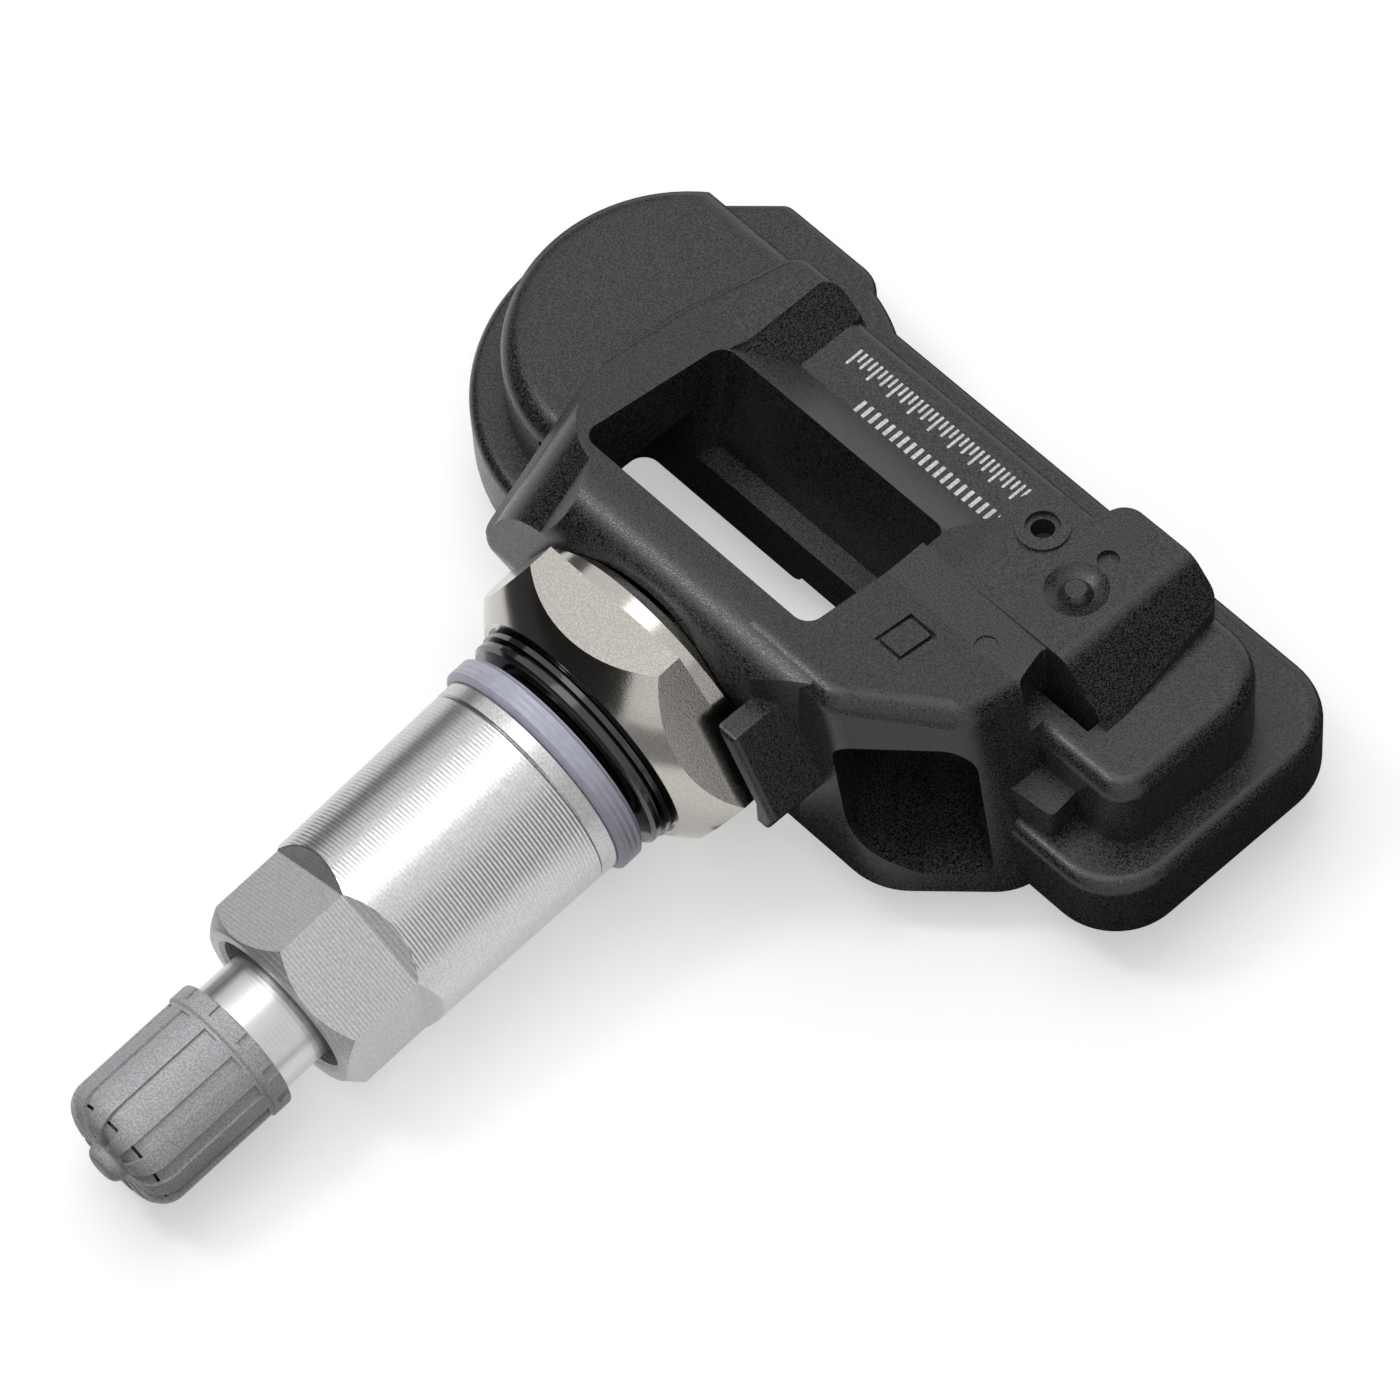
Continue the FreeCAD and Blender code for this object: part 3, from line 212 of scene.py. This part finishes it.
def add_print(name, rows, height, material):
    """Rows of plain strokes that ride on the housing, each given as PRINT_ROWS says."""
    bm = bmesh.new()
    for first, last, low, high, pitch, width in rows:
        for count in range(int((last - first) / pitch) + 1):
            reach = (high - low) * PRINT_REACH[count % len(PRINT_REACH)]
            middle = Vector((first + pitch * count, high - reach / 2, PRINT_Z)) * MM
            size = Matrix.Diagonal((width * MM, reach * MM, 1.0, 1.0))
            bmesh.ops.create_grid(bm, x_segments=1, y_segments=1, size=0.5,
                                  matrix=Matrix.Translation(middle) @ size)
    corners = list(bm.verts)
    bmesh.ops.bevel(bm, geom=corners, offset=PRINT_CORNER * MM, offset_type="OFFSET", segments=2,
                    profile=0.5, affect="VERTICES", material=-1)
    risen = bmesh.ops.extrude_face_region(bm, geom=list(bm.faces), use_keep_orig=True)["geom"]
    bmesh.ops.translate(bm, vec=(0, 0, height),
                        verts=[v for v in risen if isinstance(v, bmesh.types.BMVert)])
    bmesh.ops.recalc_face_normals(bm, faces=list(bm.faces))
    mesh = bpy.data.meshes.new(name)
    bm.to_mesh(mesh)
    bm.free()
    mesh.materials.append(material)
    made = bpy.data.objects.new(name, mesh)
    bpy.context.collection.objects.link(made)
    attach(made, "housing")
    return made


class SensorColours(bpy.types.PropertyGroup):
    """Colours of the sensor's pieces"""

    nylon: colour_property("Nylon", "Moulded housing", "181818")
    mark: colour_property("Laser mark", "Plain strokes on the housing's roof", "c8c8c8")
    resin: colour_property("Resin", "Filling of the underside", "141516")
    nickel: colour_property("Nickel", "Plated hexagon collar", "bab6af")
    aluminium: colour_property("Aluminium", "Collar nut, washer and stem", "c9cac9")
    rubber: colour_property("Rubber", "Grommet and seals", "0b0b0c")
    ring: colour_property("Seat ring", "Plastic ring between washer and rim", "a9aab8")
    cap: colour_property("Cap", "Ribbed valve cap", "a0a0a3")


class SensorStageSettings(bpy.types.PropertyGroup):
    """Floor, lamps and backdrop"""

    floor_drop: bpy.props.FloatProperty(
        name="Floor drop", description="How far the floor lies below the object",
        default=0.0004, unit="LENGTH")
    floor_size: bpy.props.FloatProperty(
        name="Floor size", description="Width of the floor",
        default=3.0, unit="LENGTH")
    key_power: bpy.props.FloatProperty(
        name="Key lamp", description="Power of the large soft lamp behind the object",
        default=1.5, unit="POWER")
    fill_power: bpy.props.FloatProperty(
        name="Fill lamp", description="Power of the soft lamp on the camera's side",
        default=1.2, unit="POWER")
    shine_power: bpy.props.FloatProperty(
        name="Shine lamp", description="Power of the overhead lamp that metal reflects",
        default=0.75, unit="POWER")
    edge_power: bpy.props.FloatProperty(
        name="Edge lamp", description="Power of the small lamp that edges facing the front catch",
        default=0.8, unit="POWER")
    world_strength: bpy.props.FloatProperty(
        name="World light", description="Strength of the light from all around",
        default=0.2)
    flag_radius: bpy.props.FloatProperty(
        name="Flag radius", description="Distance of the standing flags that metal reflects",
        default=0.3, unit="LENGTH")


class SENSOR_OT_finish_housing(bpy.types.Operator):
    """Gives the housing and its resin their finish"""

    bl_idname = "sensor.finish_housing"
    bl_label = "Finish housing"

    def execute(self, context):
        colours = context.scene.sensor_colours
        # Glass-filled nylon from a spark-eroded mould: near black and matt, with grit whose light
        # specks, up to four times the colour, are painted glints. The real grit is about 0.08 mm,
        # too fine to show, so it is drawn at 0.11 mm
        give(["housing"], finish_surface(
            "spark_eroded_nylon_painted_glints", colours.nylon, roughness=0.35, spread=0.2, specular=0.5,
            blob_mm=0.11, depth_mm=0.012, dark=0.1, light=4.0))
        # Laser marking foams the nylon's skin: pale grey and chalky
        add_print("roof_marks", PRINT_ROWS, PRINT_HEIGHT * MM, finish_surface(
            "laser_foamed_nylon", colours.mark, roughness=0.7, specular=0.3,
            blob_mm=0.11, depth_mm=0.01, dark=0.75, light=1.2))
        # Two-part resin, poured in: smooth and black, with a slight sag
        give(["potting"], finish_surface(
            "poured_resin", colours.resin, roughness=0.22, spread=0.12,
            blob_mm=3.0, depth_mm=0.1))
        return {"FINISHED"}


class SENSOR_OT_finish_valve(bpy.types.Operator):
    """Gives the valve's outer pieces their finish"""

    bl_idname = "sensor.finish_valve"
    bl_label = "Finish valve"

    def execute(self, context):
        colours = context.scene.sensor_colours
        # Nickel plate over a tumbled brass forging: warm silver, grainy in its dark reflections
        give(["hex_collar"], finish_surface(
            "nickel_plated_brass", colours.nickel, metallic=1.0, roughness=0.17, spread=0.04,
            blob_mm=0.12, depth_mm=0.003, dark=0.9, light=1.06))
        # Anodised aluminium off the lathe: satin, with rings from the tool, and matt where the
        # hexagon was milled. The real rings are about 0.12 mm apart, too fine to show, so they
        # are drawn at 0.26 mm
        turned = finish_surface(
            "turned_anodised_aluminium", colours.aluminium, metallic=1.0, roughness=0.3,
            spread=0.03, blob_mm=0.16, depth_mm=0.0012, dark=0.9, light=1.08,
            ring_mm=0.26, ring_depth_mm=0.011)
        give(["collar_nut"], matt_core(turned, HEX_ROUGHNESS, NUT_HEX_R))
        # Bare turned aluminium: fainter rings and a slightly brighter face
        give(["valve_stem"], finish_surface(
            "turned_aluminium", shade(colours.aluminium, 1.06), metallic=1.0, roughness=0.3,
            spread=0.03, blob_mm=0.4, depth_mm=0.001, ring_mm=0.3, ring_depth_mm=0.002))
        # Stamped aluminium washer: satin with small scuffs
        give(["nut_washer"], finish_surface(
            "stamped_aluminium", colours.aluminium, metallic=1.0, roughness=0.33, spread=0.06,
            blob_mm=0.14, depth_mm=0.003, dark=0.85, light=1.1))
        # Moulded rubber: black, smooth and glossy on the grommet, matt inside the cap
        give(["grommet"], finish_surface(
            "glossy_moulded_rubber", colours.rubber, roughness=0.14, spread=0.08, specular=0.8,
            blob_mm=1.2, depth_mm=0.015))
        give(["cap_seal"], finish_surface(
            "matt_moulded_rubber", colours.rubber, roughness=0.55,
            blob_mm=0.8, depth_mm=0.02))
        # Acetal ring, turned: pale lavender grey with a soft shine
        give(["seat_ring"], finish_surface(
            "turned_acetal", colours.ring, roughness=0.35,
            blob_mm=0.6, depth_mm=0.004, dark=0.95, light=1.04, ring_mm=0.42, ring_depth_mm=0.04))
        # Moulded nylon cap, lightly blasted: mid grey with a visible grain
        give(["valve_cap"], finish_surface(
            "blasted_grey_nylon", colours.cap, roughness=0.45, spread=0.12,
            blob_mm=0.12, depth_mm=0.012, dark=0.8, light=1.25))
        # Zinc-plated steel: bright, faintly mottled
        give(["valve_screw", "screw_washer"], finish_surface(
            "zinc_plated_steel", linear("b9b9b7"), metallic=1.0, roughness=0.28, spread=0.2,
            blob_mm=0.4, depth_mm=0.008))
        return {"FINISHED"}


class SENSOR_OT_finish_core(bpy.types.Operator):
    """Gives the valve core's pieces their finish"""

    bl_idname = "sensor.finish_core"
    bl_label = "Finish valve core"

    def execute(self, context):
        rubber = context.scene.sensor_colours.rubber
        # Turned brass: yellow satin with tool rings
        give(["core_body", "core_pin"], finish_surface(
            "turned_brass", linear("c8a25a"), metallic=1.0, roughness=0.3, spread=0.15,
            blob_mm=0.3, depth_mm=0.004, ring_mm=0.3, ring_depth_mm=0.01))
        # Fluorinated rubber, moulded: a red ring with a soft shine
        give(["core_barrel_seal"], finish_surface(
            "red_sealing_rubber", linear("a02318"), roughness=0.4,
            blob_mm=0.4, depth_mm=0.01, dark=0.85, light=1.1))
        # Nitrile rubber, moulded: black and matt
        give(["core_plunger_seal"], finish_surface(
            "black_sealing_rubber", rubber, roughness=0.5,
            blob_mm=0.5, depth_mm=0.01))
        # Spring steel wire: bright, drawn
        give(["core_spring"], finish_surface(
            "drawn_spring_steel", linear("a9a9a8"), metallic=1.0, roughness=0.25, spread=0.1,
            blob_mm=0.2, depth_mm=0.003))
        return {"FINISHED"}


class SENSOR_OT_finish_electronics(bpy.types.Operator):
    """Gives the cell, the board and what is on it their finish"""

    bl_idname = "sensor.finish_electronics"
    bl_label = "Finish electronics"

    def execute(self, context):
        # Nickel-plated steel can and strips: bright and smooth
        give(["battery", "battery_tab_top", "battery_tab_under", "crystal"], finish_surface(
            "nickel_plated_steel", linear("c4c3be"), metallic=1.0, roughness=0.22, spread=0.12,
            blob_mm=0.6, depth_mm=0.004))
        # Green solder resist over copper: glossy, slightly uneven where tracks run under it
        give(["circuit_board"], finish_surface(
            "green_solder_resist", linear("0f5a32"), roughness=0.28,
            blob_mm=0.8, depth_mm=0.03, dark=0.8, light=1.25))
        # Moulded epoxy package: dark and matt
        give(["sensor_chip"], finish_surface(
            "moulded_epoxy", linear("1a1a1c"), roughness=0.5,
            blob_mm=0.15, depth_mm=0.01, dark=0.8, light=1.3))
        # Moulded silicone sleeve: grey, soft and smooth
        give(["port_seal"], finish_surface(
            "grey_silicone", linear("6f7072"), roughness=0.5,
            blob_mm=0.8, depth_mm=0.01))
        # Fibrous membrane, oil-proofed: dark and matt at the bottom of the port
        give(["port_filter"], finish_surface(
            "fibrous_membrane", linear("3a3a3a"), roughness=0.8,
            blob_mm=0.1, depth_mm=0.02, dark=0.8, light=1.2))
        # Sintered ferrite: dark grey, fine-grained
        give(["antenna_core"], finish_surface(
            "sintered_ferrite", linear("2b2b2e"), roughness=0.45,
            blob_mm=0.2, depth_mm=0.02, dark=0.8, light=1.25))
        # Enamelled copper wire: reddish, lacquered
        give(["antenna_winding"], finish_surface(
            "enamelled_copper_wire", linear("b5622f"), metallic=0.9, roughness=0.3, spread=0.1,
            blob_mm=0.2, depth_mm=0.05, dark=0.6, light=1.2))
        return {"FINISHED"}


def camera_axes():
    """Right, up and back directions of the camera."""
    back = Vector((
        math.sin(CAMERA_AZIMUTH) * math.cos(CAMERA_HEIGHT),
        -math.cos(CAMERA_AZIMUTH) * math.cos(CAMERA_HEIGHT),
        math.sin(CAMERA_HEIGHT),
    ))
    level = Vector((math.cos(CAMERA_AZIMUTH), math.sin(CAMERA_AZIMUTH), 0.0))
    over = back.cross(level)
    right = level * math.cos(CAMERA_ROLL) - over * math.sin(CAMERA_ROLL)
    up = level * math.sin(CAMERA_ROLL) + over * math.cos(CAMERA_ROLL)
    return right, up, back


def add_camera():
    """The camera that stands as the photograph's did."""
    data = bpy.data.cameras.new("photo_camera")
    data.sensor_width = SENSOR_MM
    data.lens = SENSOR_MM * PIXELS_PER_MM * CAMERA_DISTANCE / MM / IMAGE_WIDTH
    data.clip_start = CAMERA_NEAR
    camera = bpy.data.objects.new("photo_camera", data)
    bpy.context.collection.objects.link(camera)
    right, up, back = camera_axes()
    turn = Matrix((right, up, back)).transposed().to_4x4()
    camera.matrix_world = Matrix.Translation(LOOK_AT + back * CAMERA_DISTANCE) @ turn
    bpy.context.scene.camera = camera


def add_lamp(name, power, width, length, place, shines):
    """A soft lamp at a place, turned to the object. Gloss shows it only where it shines."""
    data = bpy.data.lights.new(name, "AREA")
    data.shape = "RECTANGLE"
    data.size = width
    data.size_y = length
    data.energy = power
    lamp = bpy.data.objects.new(name, data)
    bpy.context.collection.objects.link(lamp)
    lamp.location = place
    lamp.rotation_euler = (LOOK_AT - Vector(place)).to_track_quat("-Z", "Y").to_euler()
    lamp.visible_glossy = shines


def seen_rays(tree):
    """1 for rays from the camera, from gloss and through glass, 0 for soft light."""
    rays = node(tree, "ShaderNodeLightPath")
    seen = node(tree, "ShaderNodeMath", {"operation": "MAXIMUM"}, None,
                {0: rays.outputs["Is Camera Ray"], 1: rays.outputs["Is Glossy Ray"]})
    seen = node(tree, "ShaderNodeMath", {"operation": "MAXIMUM"}, None,
                {0: seen.outputs[0], 1: rays.outputs["Is Transmission Ray"]})
    return seen.outputs[0]


def floor_paper():
    """Matt white paper sweep. It is white to the camera, keeps the soft shadow, and throws
    little light back up, as a sheet far below the object would."""
    made, tree, shader = new_material("white_paper_sweep", linear("ffffff"), 0.9)
    shader.inputs["Specular IOR Level"].default_value = 0.0
    place = node(tree, "ShaderNodeTexCoord").outputs["Object"]
    # Paper fibres, about 0.8 mm long
    fibres = node(tree, "ShaderNodeTexNoise", None,
                  {"Scale": NOISE_BLOB / (0.8 * MM)}, {"Vector": place})
    bump = node(tree, "ShaderNodeBump", None,
                {"Strength": 0.2, "Distance": 0.02 * MM}, {"Height": fibres.outputs["Fac"]})
    tree.links.new(bump.outputs["Normal"], shader.inputs["Normal"])
    seen = seen_rays(tree)
    mix = node(tree, "ShaderNodeMix", {"data_type": "RGBA"},
               {6: linear("5a5a5a"), 7: linear("c8c8c8")}, {0: seen})
    tree.links.new(mix.outputs[2], shader.inputs["Base Color"])
    shader.inputs["Emission Color"].default_value = linear("ffffff")
    glow = node(tree, "ShaderNodeMapRange", None,
                {"To Min": 0.0, "To Max": FLOOR_GLOW}, {"Value": seen})
    tree.links.new(glow.outputs["Result"], shader.inputs["Emission Strength"])
    return made


def light_world(strength):
    """Soft light from all around, white to the camera and to gloss past the floor."""
    world = bpy.data.worlds.new("soft_room")
    world.use_nodes = True
    tree = world.node_tree
    background = tree.nodes["Background"]
    background.inputs["Color"].default_value = linear("ffffff")
    level = node(tree, "ShaderNodeMapRange", None,
                 {"To Min": strength, "To Max": 1.0}, {"Value": seen_rays(tree)})
    tree.links.new(level.outputs["Result"], background.inputs["Strength"])
    bpy.context.scene.world = world


def flag_cloth(name, colour):
    """Coarse matt cloth of the flags, with a weave of about 2 mm."""
    made, tree, shader = new_material(name, colour, 0.9)
    shader.inputs["Specular IOR Level"].default_value = 0.0
    place = node(tree, "ShaderNodeTexCoord").outputs["Object"]
    weave = node(tree, "ShaderNodeTexNoise", None,
                 {"Scale": NOISE_BLOB / (2.0 * MM)}, {"Vector": place})
    bump = node(tree, "ShaderNodeBump", None,
                {"Distance": 0.3 * MM}, {"Height": weave.outputs["Fac"]})
    tree.links.new(bump.outputs["Normal"], shader.inputs["Normal"])
    return made


def add_stage_mesh(name, bm, material):
    """An object of the stage, made from a bmesh."""
    mesh = bpy.data.meshes.new(name)
    bm.to_mesh(mesh)
    bm.free()
    mesh.materials.append(material)
    made = bpy.data.objects.new(name, mesh)
    bpy.context.collection.objects.link(made)
    return made


def add_flag(name, profile, start, sweep, material):
    """A curved flag round the object: a profile of (radius, height), swept from start over
    sweep, both in degrees from +X. Only what is glossy sees it."""
    bm = bmesh.new()
    across, along = math.cos(math.radians(start)), math.sin(math.radians(start))
    points = [bm.verts.new((radius * across, radius * along, height))
              for radius, height in profile]
    edges = [bm.edges.new(pair) for pair in zip(points, points[1:])]
    bmesh.ops.spin(bm, geom=points + edges, cent=(0, 0, 0), axis=(0, 0, 1),
                   angle=math.radians(sweep), steps=FLAG_STEPS)
    flag = add_stage_mesh(name, bm, material)
    flag.visible_camera = False
    flag.visible_diffuse = False
    flag.visible_shadow = False


class SENSOR_OT_stage(bpy.types.Operator):
    """Builds the floor, the flags, the lamps, the world and the camera"""

    bl_idname = "sensor.stage"
    bl_label = "Set the stage"

    def execute(self, context):
        settings = context.scene.sensor_stage
        lowest = CAD_BOUNDS[0][2]
        bm = bmesh.new()
        bmesh.ops.create_grid(bm, x_segments=1, y_segments=1, size=settings.floor_size / 2,
                              matrix=Matrix.Translation((0, 0, lowest - settings.floor_drop)))
        add_stage_mesh("floor", bm, floor_paper())

        # Flags lie just over the floor, and the standing ones rise at their outer edge.
        # They give the collar, the nut and the housing's flanks their dark reflections
        dark_cloth = flag_cloth("dark_flag_cloth", linear("404040"))
        grey_cloth = flag_cloth("grey_flag_cloth", linear("9c9c9c"))
        foot = lowest - settings.floor_drop / 2
        around = settings.flag_radius
        add_flag("flag_front", ((0.04, foot), (around, foot), (around, 0.26)),
                 start=-175, sweep=95, material=dark_cloth)
        add_flag("flag_left", ((around, foot), (around, 0.12)),
                 start=135, sweep=50, material=grey_cloth)
        add_flag("flag_right", ((0.01, foot), (around, foot), (around, 0.3)),
                 start=14, sweep=61, material=dark_cloth)
        add_flag("flag_low", ((0.03, foot), (0.15, foot)),
                 start=-80, sweep=55, material=grey_cloth)
        add_flag("flag_back", ((0.01, foot), (0.08, foot)),
                 start=75, sweep=75, material=dark_cloth)

        add_lamp("key_lamp", settings.key_power,
                 width=0.6, length=0.6, place=(-0.18, 0.14, 0.6), shines=False)
        add_lamp("fill_lamp", settings.fill_power,
                 width=0.4, length=0.4, place=(0.25, -0.2, 0.55), shines=False)
        add_lamp("shine_lamp", settings.shine_power,
                 width=0.5, length=0.28, place=(-0.06, 0.0, 0.6), shines=True)
        add_lamp("edge_lamp", settings.edge_power,
                 width=0.13, length=0.13, place=(-0.27, -0.18, 0.56), shines=True)
        light_world(settings.world_strength)
        context.scene.view_settings.view_transform = "Standard"
        add_camera()
        return {"FINISHED"}


class SENSOR_PT_panel(bpy.types.Panel):
    """Lists the sensor's settings and steps"""

    bl_idname = "SENSOR_PT_panel"
    bl_label = "Tyre pressure sensor"
    bl_space_type = "VIEW_3D"
    bl_region_type = "UI"
    bl_category = "Sensor"

    def draw(self, context):
        for step in STEPS:
            self.layout.operator(step.bl_idname)
        for group in (context.scene.sensor_colours, context.scene.sensor_stage):
            for setting in type(group).__annotations__:
                self.layout.prop(group, setting)


STEPS = (
    SENSOR_OT_finish_housing,
    SENSOR_OT_finish_valve,
    SENSOR_OT_finish_core,
    SENSOR_OT_finish_electronics,
    SENSOR_OT_stage,
)
CLASSES = (SensorColours, SensorStageSettings) + STEPS + (SENSOR_PT_panel,)


def register():
    for one in CLASSES:
        bpy.utils.register_class(one)
    bpy.types.Scene.sensor_colours = bpy.props.PointerProperty(type=SensorColours)
    bpy.types.Scene.sensor_stage = bpy.props.PointerProperty(type=SensorStageSettings)


def unregister():
    del bpy.types.Scene.sensor_stage
    del bpy.types.Scene.sensor_colours
    for one in reversed(CLASSES):
        bpy.utils.unregister_class(one)


def main():
    register()
    bpy.ops.sensor.finish_housing()
    bpy.ops.sensor.finish_valve()
    bpy.ops.sensor.finish_core()
    bpy.ops.sensor.finish_electronics()
    bpy.ops.sensor.stage()


if __name__ == "__main__":
    main()
